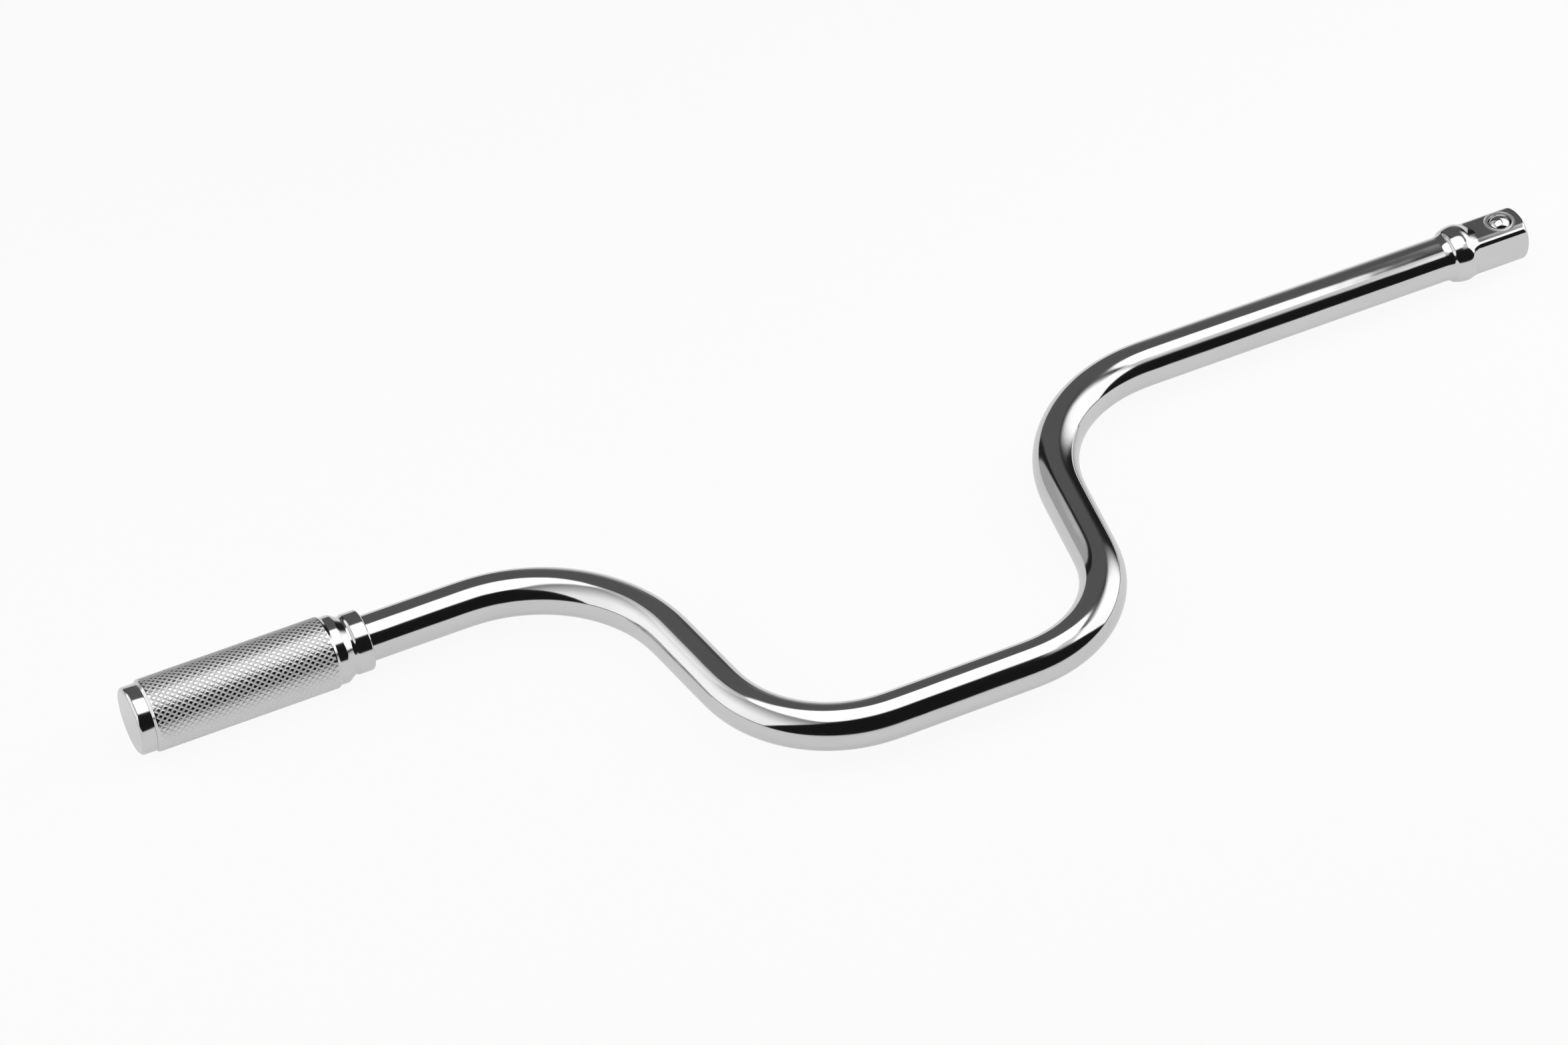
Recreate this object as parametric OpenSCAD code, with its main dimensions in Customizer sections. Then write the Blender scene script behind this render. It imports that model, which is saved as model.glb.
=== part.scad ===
// Speeder handle: a crank bent from one bar, with a turning knurled grip and a male square drive.
// The tool's axis is X, with the drive tip at the origin pointing to +X.
// The crank swings out to -Y, and the spring ball sits in the square's upper flat, +Z.

/* [Bar] */
// Diameter of the round bar
bar_d = 13.4; // [12.6:0.1:14.2]
// Length from the grip's end face to the drive tip
overall_len = 440; // [425:1:460]
// Distance of the crank's middle run from the tool's axis
crank_throw = 97.5; // [90:0.5:107]
// Distance between the points where the legs' centre lines cross the tool's axis
crank_base = 134; // [125:1:143]
// Distance along the axis from the crank's middle to the drive tip
crank_to_tip = 232.5; // [226:0.5:240]
// Lean of each leg from square to the tool's axis, in degrees
leg_lean = 8; // [5:0.5:11]
// Centre-line radius of the two bends on the tool's axis
axis_bend_r = 46; // [40:1:50]
// Centre-line radius of the two bends beside the crank's middle run
crank_bend_r = 36.5; // [31:0.5:40.5]

/* [Head] */
// Largest diameter of the forged head
head_d = 17.1; // [16.9:0.1:18.4]
// Distance from the head's widest point to the drive tip
head_to_tip = 20.4; // [19.2:0.1:23]
// Distance from the head's widest point back to its rim
head_back = 4; // [3.4:0.1:4.6]
// Profile radius of the head behind its widest point
flank_r = 11; // [9.5:0.5:15]
// Profile radius of the head's front shoulder
nose_r = 3.1; // [2.2:0.1:4.4]
// Height of the narrow bevel at the head's rear rim
rim_rise = 0.5; // [0.35:0.05:0.6]
// Length of that bevel along the axis
rim_len = 0.5; // [0.3:0.05:0.8]
// Fillet radius between the bar and the head's rim
neck_r = 5; // [3:0.5:8]

/* [Drive square] */
// Width across the flats of the square
drive_af = 12.7; // [12.2:0.05:13]
// Diameter that the square's corners are turned to
corner_d = 16.8; // [16.2:0.1:16.9]
// Radius of the hollow where each flat runs out into the head
runout_r = 6.2; // [4.4:0.2:7.6]
// Radius of the turned rounding at the tip
tip_round = 1.9; // [1:0.1:2]

/* [Detent] */
// Diameter of the ball
ball_d = 7.2; // [6.4:0.1:7.6]
// Distance from the ball's axis to the drive tip
ball_to_tip = 6.7; // [6.3:0.1:8.6]
// How much smaller the staked lip is than the ball, on the radius
lip_bite = 0.2; // [0.15:0.05:0.3]
// Depth of the lip's retaining edge below the flat
lip_depth = 0.85; // [0.6:0.05:1.2]
// Width of the ring groove that the staking punch leaves
stake_w = 1; // [0.6:0.1:1.2]
// Metal left between the ball's bore and the flat on the far side
floor_wall = 1.4; // [1:0.1:2]
// Wire diameter of the spring
wire_d = 0.7; // [0.5:0.05:0.8]
// Mean diameter of the spring's coils
coil_d = 5; // [4.5:0.1:5.4]
// Number of coils
coils = 4; // [3:1:4]

/* [Grip] */
// Overall length of the grip, end cap included
grip_len = 70; // [63:0.5:73]
// Diameter over the knurl
knurl_d = 21; // [20.5:0.1:24]
// Diameter of the end cap
cap_d = 19.7; // [18.8:0.1:20.3]
// Length of the end cap's visible band
cap_len = 4.4; // [3.4:0.1:5.8]
// Rounding of the end cap's outer edge
cap_round = 1; // [0.5:0.1:1.6]
// Bevel where the sleeve's front and rear edges drop from the knurl
knurl_bevel = 0.8; // [0.5:0.1:1.2]
// Diameter of the smooth shoulder band after the knurl
shoulder_d = 19.9; // [19.2:0.1:20.3]
// Length of the shoulder band
shoulder_len = 2.5; // [1.5:0.1:3.8]
// Length of the taper between the shoulder band and the collar
taper_len = 3.2; // [2.4:0.1:4.8]
// Diameter of the collar that the bar comes out of
collar_d = 17.6; // [16.6:0.1:18.6]
// Length of the collar
collar_len = 4.8; // [3.4:0.1:6.7]
// Depth of the shallow neck between taper and collar, on the radius
collar_neck = 0.2; // [0.1:0.05:0.3]
// Bevel on the collar's end edges
collar_bevel = 0.4; // [0.2:0.05:0.6]

/* [Grip retention] */
// Diameter of the pocket bored into the sleeve's outer end
pocket_d = 16.5; // [16:0.1:17.2]
// Length of the end cap's spigot in that pocket
spigot_len = 5; // [4:0.1:7]
// Length of bar between its end and the ring groove
bar_land = 2; // [1.5:0.1:3]
// Thickness of the retaining ring
ring_t = 1.2; // [0.8:0.1:1.6]
// Depth of the ring groove in the bar, on the radius
groove_depth = 0.8; // [0.5:0.1:1.2]
// Angle left open in the split ring, in degrees
ring_split = 30; // [15:1:45]
// Thickness of the thrust washer
washer_t = 1.5; // [1:0.1:2.5]

/* [Fits] */
// Radial clearance of the sleeve on the bar, and of the ball in its bore
run_clear = 0.08; // [0.05:0.01:0.1]
// Gap left at rest between faces that slide or press on each other
face_gap = 0.1; // [0.05:0.01:0.2]
// Radial room round the washer and the ring inside the pocket
pocket_room = 0.3; // [0.2:0.05:0.4]
// Interference of the cap's spigot in the pocket, on the radius
press_bite = 0.01; // [0:0.005:0.02]

/* [Hidden] */
$fn = 96;

bar_r = bar_d / 2;
flat_z = drive_af / 2;

// Bends of the crank, where the bar draws a little thinner. Each run's end narrows as it laps into a bend
bend_thinning = 0.02;
lap = 0.8;
lap_taper = 0.12;
turn = 90 - leg_lean;
axis_tangent = axis_bend_r * tan(turn / 2);
crank_tangent = crank_bend_r * tan(turn / 2);
leg_run = crank_throw / cos(leg_lean) - axis_tangent - crank_tangent;
middle_run = crank_base - 2 * crank_throw * tan(leg_lean) - 2 * crank_tangent;
rear_bend_x = -crank_to_tip - crank_base / 2 - axis_tangent;
front_bend_x = -crank_to_tip + crank_base / 2 + axis_tangent;

// Head profile along the axis. Each hollow blend cuts a little into its neighbours, past just touching
blend_bite = 0.04;
head_r = head_d / 2;
head_x = -head_to_tip;
rim_x = head_x - head_back;
rim_r = head_r - flank_r + sqrt(pow(flank_r, 2) - pow(head_back, 2));
bevel_r = rim_r - rim_rise;
bevel_x = rim_x - rim_len;
neck_len = sqrt(pow(neck_r, 2) - pow(neck_r - blend_bite - (bevel_r - bar_r), 2));
neck_x = bevel_x - neck_len;

// Hollows where the flats run out into the head
runout_z = flat_z + runout_r - blend_bite;
runout_reach = nose_r + runout_r - blend_bite;
nose_z = head_r - nose_r;
runout_x = sqrt(pow(runout_reach, 2) - pow(runout_z - nose_z, 2));
runout_top_z = nose_z + nose_r * (runout_z - nose_z) / runout_reach;

// Ball, bore and spring, measured up from the tool's axis
ball_r = ball_d / 2;
ball_bore_r = ball_r + run_clear;
lip_r = ball_r - lip_bite;
lip_z = flat_z - lip_depth;
ball_z = lip_z - sqrt(pow(ball_r, 2) - pow(lip_r, 2)) - face_gap;
bore_floor_z = floor_wall - flat_z;
spring_low_z = bore_floor_z + wire_d / 2;
spring_high_z = ball_z - sqrt(pow(ball_r + wire_d / 2 + face_gap, 2) - pow(coil_d / 2, 2));

// Stations along the grip, from its end face at -X
grip_x = -overall_len;
sleeve_x = grip_x + cap_len;
spigot_x = sleeve_x + spigot_len;
bar_x = spigot_x + face_gap;
groove_x = bar_x + bar_land;
ring_x = groove_x + face_gap / 2;
groove_end_x = groove_x + ring_t + face_gap;
washer_x = groove_end_x;
pocket_x = washer_x + washer_t + face_gap;
collar_end_x = grip_x + grip_len;
collar_x = collar_end_x - collar_len;
shoulder_end_x = collar_x - taper_len;
shoulder_x = shoulder_end_x - shoulder_len;
knurl_end_x = shoulder_x - knurl_bevel;

sleeve_bore_r = bar_r + run_clear;
pocket_r = pocket_d / 2;
groove_r = bar_r - groove_depth;
ring_in_r = groove_r + face_gap / 2;
washer_in_r = bar_r + face_gap;
washer_out_r = pocket_r - pocket_room;
bar_bevel = 0.8;
spigot_bevel = 0.6;

// Turns a profile of radius and place along X about the tool's axis
module turned(angle = 360) {
    rotate([0, 90, 0])
        rotate_extrude(angle = angle)
            children();
}

// A plain rectangle in such a profile
module band(r_in, r_out, x_from, x_to) {
    translate([r_in, x_from])
        square([r_out - r_in, x_to - x_from]);
}

// A straight run of bar along X, lapped into its neighbours, and what follows it
module run(length) {
    lap_r = bar_r - lap_taper;
    turned()
        polygon([[0, -lap], [lap_r, -lap], [bar_r, 0], [bar_r, length], [lap_r, length + lap],
                 [0, length + lap]]);
    translate([length, 0, 0])
        children();
}

// A bend of the bar in the crank's plane, left for a positive angle, and what follows it
module bend(radius, angle) {
    side = sign(angle);
    start = side > 0 ? -90 : 90 - abs(angle);
    translate([0, side * radius, 0]) {
        rotate_extrude(angle = abs(angle), start = start)
            translate([radius, 0])
                circle(r = bar_r - bend_thinning);
        rotate([0, 0, angle])
            translate([0, -side * radius, 0])
                children();
    }
}

module bent_bar() {
    translate([bar_x + lap, 0, 0])
        run(rear_bend_x - bar_x - lap)
        bend(axis_bend_r, -turn)
        run(leg_run)
        bend(crank_bend_r, turn)
        run(middle_run)
        bend(crank_bend_r, turn)
        run(leg_run)
        bend(axis_bend_r, -turn)
        run(neck_x - front_bend_x);
}

// Swelled head: filleted neck, bevelled rim, flank and rounded front shoulder
module forged_head() {
    bevel_low = [bevel_r - 2 * rim_rise, bevel_x - 2 * rim_len];
    bevel_high = [bevel_r + 2 * rim_rise, bevel_x + 2 * rim_len];
    turned() {
        difference() {
            band(0, rim_r, neck_x, rim_x);
            translate([bar_r + neck_r - blend_bite, neck_x])
                circle(r = neck_r);
        }
        difference() {
            intersection() {
                band(0, head_r, bevel_x - rim_len, head_x);
                translate([head_r - flank_r, head_x])
                    circle(r = flank_r);
            }
            polygon([bevel_low, bevel_high, [bevel_high.x, bevel_low.y]]);
        }
        intersection() {
            band(0, head_r, head_x, head_x + nose_r);
            translate([head_r - nose_r, head_x])
                circle(r = nose_r);
        }
        band(0, head_r - nose_r, head_x, head_x + nose_r);
    }
}

// Metal under the hollow where one flat runs out into the head, turned about that flat's normal
module runout() {
    translate([head_x, 0, 0])
        rotate_extrude()
            difference() {
                band(0, runout_x, 0, runout_top_z);
                translate([runout_x, runout_z])
                    circle(r = runout_r);
            }
}

// Square drive with turned corners and a rounded tip
module drive_square() {
    corner_r = corner_d / 2;
    tip_r = corner_r - tip_round;
    intersection() {
        turned() {
            band(0, corner_r, head_x, -tip_round);
            band(0, tip_r, head_x, 0);
            translate([tip_r, -tip_round])
                circle(r = tip_round);
        }
        union() {
            translate([head_x, -flat_z, -flat_z])
                cube([head_to_tip, drive_af, drive_af]);
            for (side = [0:3])
                rotate([side * 90, 0, 0])
                    runout();
        }
    }
}

// Bore of the ball and spring, with the staked lip and the punch's ring groove
module detent_cut() {
    lip_foot_z = lip_z - (ball_bore_r - lip_r);
    stake_r = ball_bore_r + stake_w / 2;
    translate([-ball_to_tip, 0, 0]) {
        rotate_extrude() {
            polygon([[0, bore_floor_z], [ball_bore_r, bore_floor_z], [ball_bore_r, lip_foot_z],
                     [lip_r, lip_z], [lip_r, head_r], [0, head_r]]);
        }
        translate([0, 0, flat_z])
            rotate_extrude()
                translate([stake_r, 0])
                    circle(d = stake_w);
    }
}

// Groove for the retaining ring and the bevel on the bar's hidden end
module bar_end_cut() {
    turned()
        band(groove_r, bar_d, groove_x, groove_end_x);
    turned()
        polygon([[bar_r - bar_bevel, bar_x], [bar_d, bar_x - bar_r - bar_bevel], [bar_d, bar_x + bar_r],
                 [bar_r, bar_x + bar_bevel]]);
}

module crank_bar() {
    color("silver")
        difference() {
            union() {
                bent_bar();
                forged_head();
                drive_square();
            }
            detent_cut();
            bar_end_cut();
        }
}

module grip_sleeve() {
    knurl_r = knurl_d / 2;
    shoulder_r = shoulder_d / 2;
    collar_r = collar_d / 2;
    neck = collar_r - collar_neck;
    color("gainsboro")
        turned()
            polygon([[pocket_r, sleeve_x], [knurl_r - knurl_bevel, sleeve_x],
                     [knurl_r, sleeve_x + knurl_bevel], [knurl_r, knurl_end_x],
                     [shoulder_r, shoulder_x], [shoulder_r, shoulder_end_x],
                     [neck, collar_x - collar_bevel], [neck, collar_x], [collar_r, collar_x + collar_bevel],
                     [collar_r, collar_end_x - collar_bevel], [collar_r - collar_bevel, collar_end_x],
                     [sleeve_bore_r, collar_end_x], [sleeve_bore_r, pocket_x], [pocket_r, pocket_x]]);
}

module end_cap() {
    cap_r = cap_d / 2;
    spigot_r = pocket_r + press_bite;
    color("gainsboro")
        turned() {
            band(0, cap_r - cap_round, grip_x, sleeve_x);
            band(0, cap_r, grip_x + cap_round, sleeve_x);
            translate([cap_r - cap_round, grip_x + cap_round])
                circle(r = cap_round);
            polygon([[0, sleeve_x], [spigot_r, sleeve_x], [spigot_r, spigot_x - spigot_bevel],
                     [spigot_r - spigot_bevel, spigot_x], [0, spigot_x]]);
        }
}

module retaining_ring() {
    color("dimgray")
        turned(360 - ring_split)
            band(ring_in_r, washer_out_r, ring_x, ring_x + ring_t);
}

module thrust_washer() {
    color("darkgray")
        turned()
            band(washer_in_r, washer_out_r, washer_x, washer_x + washer_t);
}

module detent_ball() {
    color("lightgray")
        translate([-ball_to_tip, 0, ball_z])
            sphere(d = ball_d);
}

// Centre of the spring's wire at a given number of coils from its foot
function spring_point(coil) = [
    coil_d / 2 * cos(360 * coil),
    coil_d / 2 * sin(360 * coil),
    spring_low_z + (spring_high_z - spring_low_z) * coil / coils
];

// One ring of points round the wire there
function wire_ring(coil, sides) = [
    for (side = [0:sides - 1])
        let (angle = 360 * side / sides, out = coil_d / 2 + wire_d / 2 * cos(angle))
        [out * cos(360 * coil), out * sin(360 * coil), spring_point(coil).z + wire_d / 2 * sin(angle)]
];

module detent_spring() {
    steps = 8;
    sides = 6;
    rings = coils * steps;
    points = [for (ring = [0:rings]) each wire_ring(ring / steps, sides)];
    walls = [
        for (ring = [0:rings - 1], side = [0:sides - 1])
            let (a = ring * sides + side, b = ring * sides + (side + 1) % sides)
            each [[a, a + sides, b], [b, a + sides, b + sides]]
    ];
    foot = [for (side = [1:sides - 2]) [0, side, side + 1]];
    top = [for (side = [1:sides - 2]) rings * sides * [1, 1, 1] + [0, side + 1, side]];
    gap = min([for (ring = [0:rings - steps])
        norm(spring_point(ring / steps + 1) - spring_point(ring / steps)) - wire_d]);
    echo(spring_least_gap = gap);
    color("darkslategray")
        translate([-ball_to_tip, 0, 0])
            polyhedron(points, concat(walls, foot, top));
}

crank_bar();
grip_sleeve();
end_cap();
retaining_ring();
thrust_washer();
detent_ball();
detent_spring();
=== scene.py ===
import bpy
import numpy as np
from mathutils import Matrix


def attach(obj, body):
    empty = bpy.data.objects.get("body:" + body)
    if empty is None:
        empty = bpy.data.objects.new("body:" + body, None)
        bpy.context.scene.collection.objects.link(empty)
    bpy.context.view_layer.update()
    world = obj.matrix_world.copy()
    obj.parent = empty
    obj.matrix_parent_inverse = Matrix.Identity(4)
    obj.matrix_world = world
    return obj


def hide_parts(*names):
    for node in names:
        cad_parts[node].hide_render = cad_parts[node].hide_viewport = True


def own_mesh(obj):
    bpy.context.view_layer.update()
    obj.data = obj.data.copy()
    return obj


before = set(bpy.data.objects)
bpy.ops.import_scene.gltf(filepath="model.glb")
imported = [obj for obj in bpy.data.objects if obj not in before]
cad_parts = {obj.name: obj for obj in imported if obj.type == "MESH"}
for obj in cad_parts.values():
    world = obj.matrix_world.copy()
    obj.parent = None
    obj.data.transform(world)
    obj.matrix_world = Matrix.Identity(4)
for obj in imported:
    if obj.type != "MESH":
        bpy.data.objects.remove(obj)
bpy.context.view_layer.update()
mm = 0.001
pi = np.pi
print("frame loaded:", ", ".join(sorted(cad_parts)))

meshRules = {
    "digits": 6,           # decimals of a millimetre to which points that lie on each other agree
    "keepFlat": 1.4,       # where the flat beside a rounded corner starts, in roundings from the corner
}


# Quads between the neighbouring rows of a grid of rows x cols points.
# Rows run along the surface, columns round it; a closed grid joins its last column to the first.
def gridQuads(rows, cols, closed=True, first=0):
    i = np.arange(rows - 1)[:, None]
    j = np.arange(cols if closed else cols - 1)[None, :]
    a = i * cols + j
    b = i * cols + (j + 1) % cols
    return first + np.stack([a, b, b + cols, a + cols], -1).reshape(-1, 4)


# Points that lie on each other become one, and a quad that loses a side becomes a triangle.
# Points are in millimetres and the mesh in metres; extra holds one value or vector per point,
# and loose holds triangles that are added as they are.
def makePiece(name, points, quads, extra=None, crease=None, loose=None):
    agreed = np.round(points, meshRules["digits"])
    _, first, where = np.unique(agreed, axis=0, return_index=True, return_inverse=True)
    where = where.reshape(-1)
    quads = where[quads]
    faces = []
    whole = np.ones(len(quads), bool)
    for side in range(4):
        short = quads[:, side] == quads[:, (side + 1) % 4]
        whole &= ~short
        faces += quads[short][:, [(side + 1) % 4, (side + 2) % 4, (side + 3) % 4]].tolist()
    faces += quads[whole].tolist()
    if loose is not None:
        faces += where[loose].tolist()
    mesh = bpy.data.meshes.new(name)
    mesh.from_pydata((points[first] * mm).tolist(), [], faces)
    mesh.validate()
    for label, values in (extra or {}).items():
        kind, field = ("FLOAT_VECTOR", "vector") if values.ndim == 2 else ("FLOAT", "value")
        attribute = mesh.attributes.new(label, kind, "POINT")
        attribute.data.foreach_set(field, values[first].astype(np.float32).ravel())
    mesh.shade_smooth()
    if crease is not None:
        mesh.set_sharp_from_angle(angle=np.radians(crease))
    piece = bpy.data.objects.new(name, mesh)
    bpy.context.scene.collection.objects.link(piece)
    print(f"{name}: {len(mesh.vertices)} points, {len(mesh.polygons)} faces")
    return piece


# A piece takes its place on a body, stands for its solid and wears one finish.
def fit(piece, body, node, finish):
    piece.data.materials.append(finish)
    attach(piece, body)
    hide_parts(node)
    return piece


# The larger of two values, with the crease between them rounded over a width k: where they differ by less
# than k, the square of what is missing, over four k, is added.
def softMax(a, b, k):
    return np.maximum(a, b) + np.maximum(k - np.abs(a - b), 0) ** 2 / (4 * k)


# The smaller of two values, rounded in the same way: the larger of both with their signs turned.
def softMin(a, b, k):
    return -softMax(-a, -b, k)


# A closed outline whose corners are rounded by parabolas: each corner is left at its own distance
# along both sides, and one more point on each side keeps the flat next to it flat.
def roundedOutline(corners, rounding, steps):
    corners = np.asarray(corners, float)
    rounding = np.asarray(rounding, float)[:, None, None]
    before = np.roll(corners, 1, 0) - corners
    after = np.roll(corners, -1, 0) - corners
    before = (before / np.linalg.norm(before, axis=1)[:, None])[:, None]
    after = (after / np.linalg.norm(after, axis=1)[:, None])[:, None]
    t = np.linspace(0, 1, steps)[None, :, None]
    bow = corners[:, None] + rounding * (before * (1 - t) ** 2 + after * t ** 2)
    lead = corners[:, None] + rounding * before * meshRules["keepFlat"]
    trail = corners[:, None] + rounding * after * meshRules["keepFlat"]
    return np.concatenate([lead, bow, trail], 1)


# An outline of radius and place along X carried round the tool's axis, from +Y by way of +Z.
def turned(outline, count):
    angle = 2 * pi * np.arange(count)[None, :] / count
    r, x = outline[:, 0][:, None], outline[:, 1][:, None]
    return np.stack([x + 0 * angle, r * np.cos(angle), r * np.sin(angle)], -1)


# finishes

noiseLook = {
    "span": (0.3, 0.7),    # the values that a noise mostly keeps between
    "greyDetail": 4.0, "greyRough": 0.6, "glossDetail": 3.0, "grainDetail": 2.0,
}
chromeLook = {
    "colour": (0.66, 0.66, 0.663),
    "tint": 0.03,          # how much the plate's grey wanders
    "greyScale": 120.0, "glossScale": 300.0,
    "stretch": (0.25, 1.0, 1.0),           # grey and gloss wander slower along the bar
    "rough": (0.06, 0.11),
    "punched": 0.36,       # added where the punch has staked the ball
    "peel": 0.05,          # height of the plate's slow waviness, in mm
    "peelSize": 9.0,       # and its length
    "peelDetail": 1.0,
    "lines": (30.0, 2200.0, 2200.0),       # polishing lines to the metre, along and across
    "lineHeight": 0.0006, "lineStrength": 0.4,
}
gripLook = {
    "rough": (0.1, 0.6),   # turned bands and diamond tops, then the grooves
    "dullFrom": 0.5,       # share of a groove's depth from which it is fully dull
    "groove": 0.84,        # grey of the grooves, paler than the plate: painted light that stands in for light bouncing between the groove walls
    "greyScale": 180.0,
    "turning": (9000.0, 60.0, 60.0),       # turning marks to the metre, along and across
    "marks": 0.0016,       # height of the turning marks, in mm
    "markStrength": 0.5,
}
steelLook = {
    "ballSteel": {"colour": (0.7, 0.705, 0.71), "spread": 0.02, "rough": (0.03, 0.06),
                  "scale": 900.0, "grain": 0.0005},
    "springSteel": {"colour": (0.3, 0.31, 0.33), "spread": 0.15, "rough": (0.25, 0.4),
                    "scale": 1500.0, "grain": 0.003},
    "washerSteel": {"colour": (0.5, 0.51, 0.53), "spread": 0.08, "rough": (0.22, 0.35),
                    "scale": 1200.0, "grain": 0.003},
    "grainStrength": 0.5,
}


# One node of a material's tree, with its settings and its unlinked inputs.
def addNode(tree, kind, inputs=None, **settings):
    node = tree.nodes.new(kind)
    for key, value in settings.items():
        setattr(node, key, value)
    for key, value in (inputs or {}).items():
        node.inputs[key].default_value = value
    return node


# A new metal, with its node tree and its shader.
def newFinish(name):
    finish = bpy.data.materials.new(name)
    finish.use_nodes = True
    tree = finish.node_tree
    shader = tree.nodes["Principled BSDF"]
    shader.inputs["Metallic"].default_value = 1.0
    return finish, tree, shader


# Two greys mixed by a noise, the colour less and plus its spread, so that the plate isn't all one grey.
def wanderingGrey(tree, shader, source, colour, spread, scale):
    noise = addNode(tree, "ShaderNodeTexNoise", {
        "Scale": scale, "Detail": noiseLook["greyDetail"], "Roughness": noiseLook["greyRough"]})
    ramp = addNode(tree, "ShaderNodeValToRGB")
    for element, place, share in zip(ramp.color_ramp.elements, noiseLook["span"], (1 - spread, 1 + spread)):
        element.position = place
        element.color = (*[c * share for c in colour], 1)
    tree.links.new(source, noise.inputs["Vector"])
    tree.links.new(noise.outputs["Fac"], ramp.inputs["Fac"])
    tree.links.new(ramp.outputs["Color"], shader.inputs["Base Color"])
    return noise


# Roughness carried by a noise between two values.
def wanderingGloss(tree, shader, source, low, high, scale):
    noise = addNode(tree, "ShaderNodeTexNoise", {"Scale": scale, "Detail": noiseLook["glossDetail"]})
    least, most = noiseLook["span"]
    span = addNode(tree, "ShaderNodeMapRange",
                   {"From Min": least, "From Max": most, "To Min": low, "To Max": high})
    tree.links.new(source, noise.inputs["Vector"])
    tree.links.new(noise.outputs["Fac"], span.inputs["Value"])
    tree.links.new(span.outputs["Result"], shader.inputs["Roughness"])
    return span


# Fine lines from a noise whose place is stretched by a scale of its own in each direction.
def lineGrain(tree, source, scale):
    place = addNode(tree, "ShaderNodeMapping", {"Scale": scale})
    tree.links.new(source, place.inputs["Vector"])
    grain = addNode(tree, "ShaderNodeTexNoise", {"Scale": 1.0, "Detail": noiseLook["grainDetail"]})
    tree.links.new(place.outputs["Vector"], grain.inputs["Vector"])
    return grain.outputs["Fac"]


# Plated bar: grey that wanders, gloss that wanders, slow waviness and fine lengthwise polishing lines.
def barChrome():
    look = chromeLook
    finish, tree, shader = newFinish("barChrome")
    along = addNode(tree, "ShaderNodeAttribute", attribute_name="barCoord").outputs["Vector"]
    place = addNode(tree, "ShaderNodeMapping", {"Scale": look["stretch"]})
    tree.links.new(along, place.inputs["Vector"])
    wanderingGrey(tree, shader, place.outputs["Vector"], look["colour"], look["tint"], look["greyScale"])
    gloss = wanderingGloss(tree, shader, place.outputs["Vector"], *look["rough"], look["glossScale"])
    punched = addNode(tree, "ShaderNodeAttribute", attribute_name="punched")
    duller = addNode(tree, "ShaderNodeMath", {1: look["punched"]}, operation="MULTIPLY_ADD")
    tree.links.new(punched.outputs["Fac"], duller.inputs[0])
    tree.links.new(gloss.outputs["Result"], duller.inputs[2])
    tree.links.new(duller.outputs[0], shader.inputs["Roughness"])
    peel = addNode(tree, "ShaderNodeTexNoise",
                   {"Scale": 1 / mm / look["peelSize"], "Detail": look["peelDetail"]})
    tree.links.new(along, peel.inputs["Vector"])
    slow = addNode(tree, "ShaderNodeBump", {"Strength": 1.0, "Distance": look["peel"] * mm})
    fine = addNode(tree, "ShaderNodeBump",
                   {"Strength": look["lineStrength"], "Distance": look["lineHeight"] * mm})
    tree.links.new(peel.outputs["Fac"], slow.inputs["Height"])
    tree.links.new(lineGrain(tree, along, look["lines"]), fine.inputs["Height"])
    tree.links.new(slow.outputs["Normal"], fine.inputs["Normal"])
    tree.links.new(fine.outputs["Normal"], shader.inputs["Normal"])
    return finish


# Plated grip: turning marks round the smooth bands. With its depth a groove passes from the tops' gloss
# to dull, and from the tops' grey to a pale grey that is painted light, for the light its walls bounce into
# it.
def gripChrome():
    look = gripLook
    finish, tree, shader = newFinish("gripChrome")
    place = addNode(tree, "ShaderNodeTexCoord").outputs["Object"]
    wanderingGrey(tree, shader, place, chromeLook["colour"], chromeLook["tint"], look["greyScale"])
    depth = addNode(tree, "ShaderNodeAttribute", attribute_name="knurlDepth")
    low, high = look["rough"]
    span = addNode(tree, "ShaderNodeMapRange",
                   {"From Min": 0.0, "From Max": look["dullFrom"], "To Min": low, "To Max": high})
    tree.links.new(depth.outputs["Fac"], span.inputs["Value"])
    tree.links.new(span.outputs["Result"], shader.inputs["Roughness"])
    # The grooves' paler grey is painted light, not a colour of the plating: it lightens them as light
    # bouncing between their walls would
    top = shader.inputs["Base Color"].links[0].from_socket
    pale = addNode(tree, "ShaderNodeMixRGB", {"Color2": (look["groove"],) * 3 + (1,)})
    tree.links.new(depth.outputs["Fac"], pale.inputs["Fac"])
    tree.links.new(top, pale.inputs["Color1"])
    tree.links.new(pale.outputs["Color"], shader.inputs["Base Color"])
    bump = addNode(tree, "ShaderNodeBump",
                   {"Strength": look["markStrength"], "Distance": look["marks"] * mm})
    tree.links.new(lineGrain(tree, place, look["turning"]), bump.inputs["Height"])
    tree.links.new(bump.outputs["Normal"], shader.inputs["Normal"])
    return finish


# Plain steels of the small parts: a noise in colour, one twice as fine in gloss, and a fine grain.
def plainSteel(name):
    look = steelLook[name]
    finish, tree, shader = newFinish(name)
    place = addNode(tree, "ShaderNodeTexCoord").outputs["Object"]
    noise = wanderingGrey(tree, shader, place, look["colour"], look["spread"], look["scale"])
    wanderingGloss(tree, shader, place, *look["rough"], look["scale"] * 2)
    bump = addNode(tree, "ShaderNodeBump",
                   {"Strength": steelLook["grainStrength"], "Distance": look["grain"] * mm})
    tree.links.new(noise.outputs["Fac"], bump.inputs["Height"])
    tree.links.new(bump.outputs["Normal"], shader.inputs["Normal"])
    return finish


barFinish = barChrome()
gripFinish = gripChrome()
ballFinish = plainSteel("ballSteel")
springFinish = plainSteel("springSteel")
washerFinish = plainSteel("washerSteel")
print("finishes mixed")


# bent bar and forged head, one surface

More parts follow.
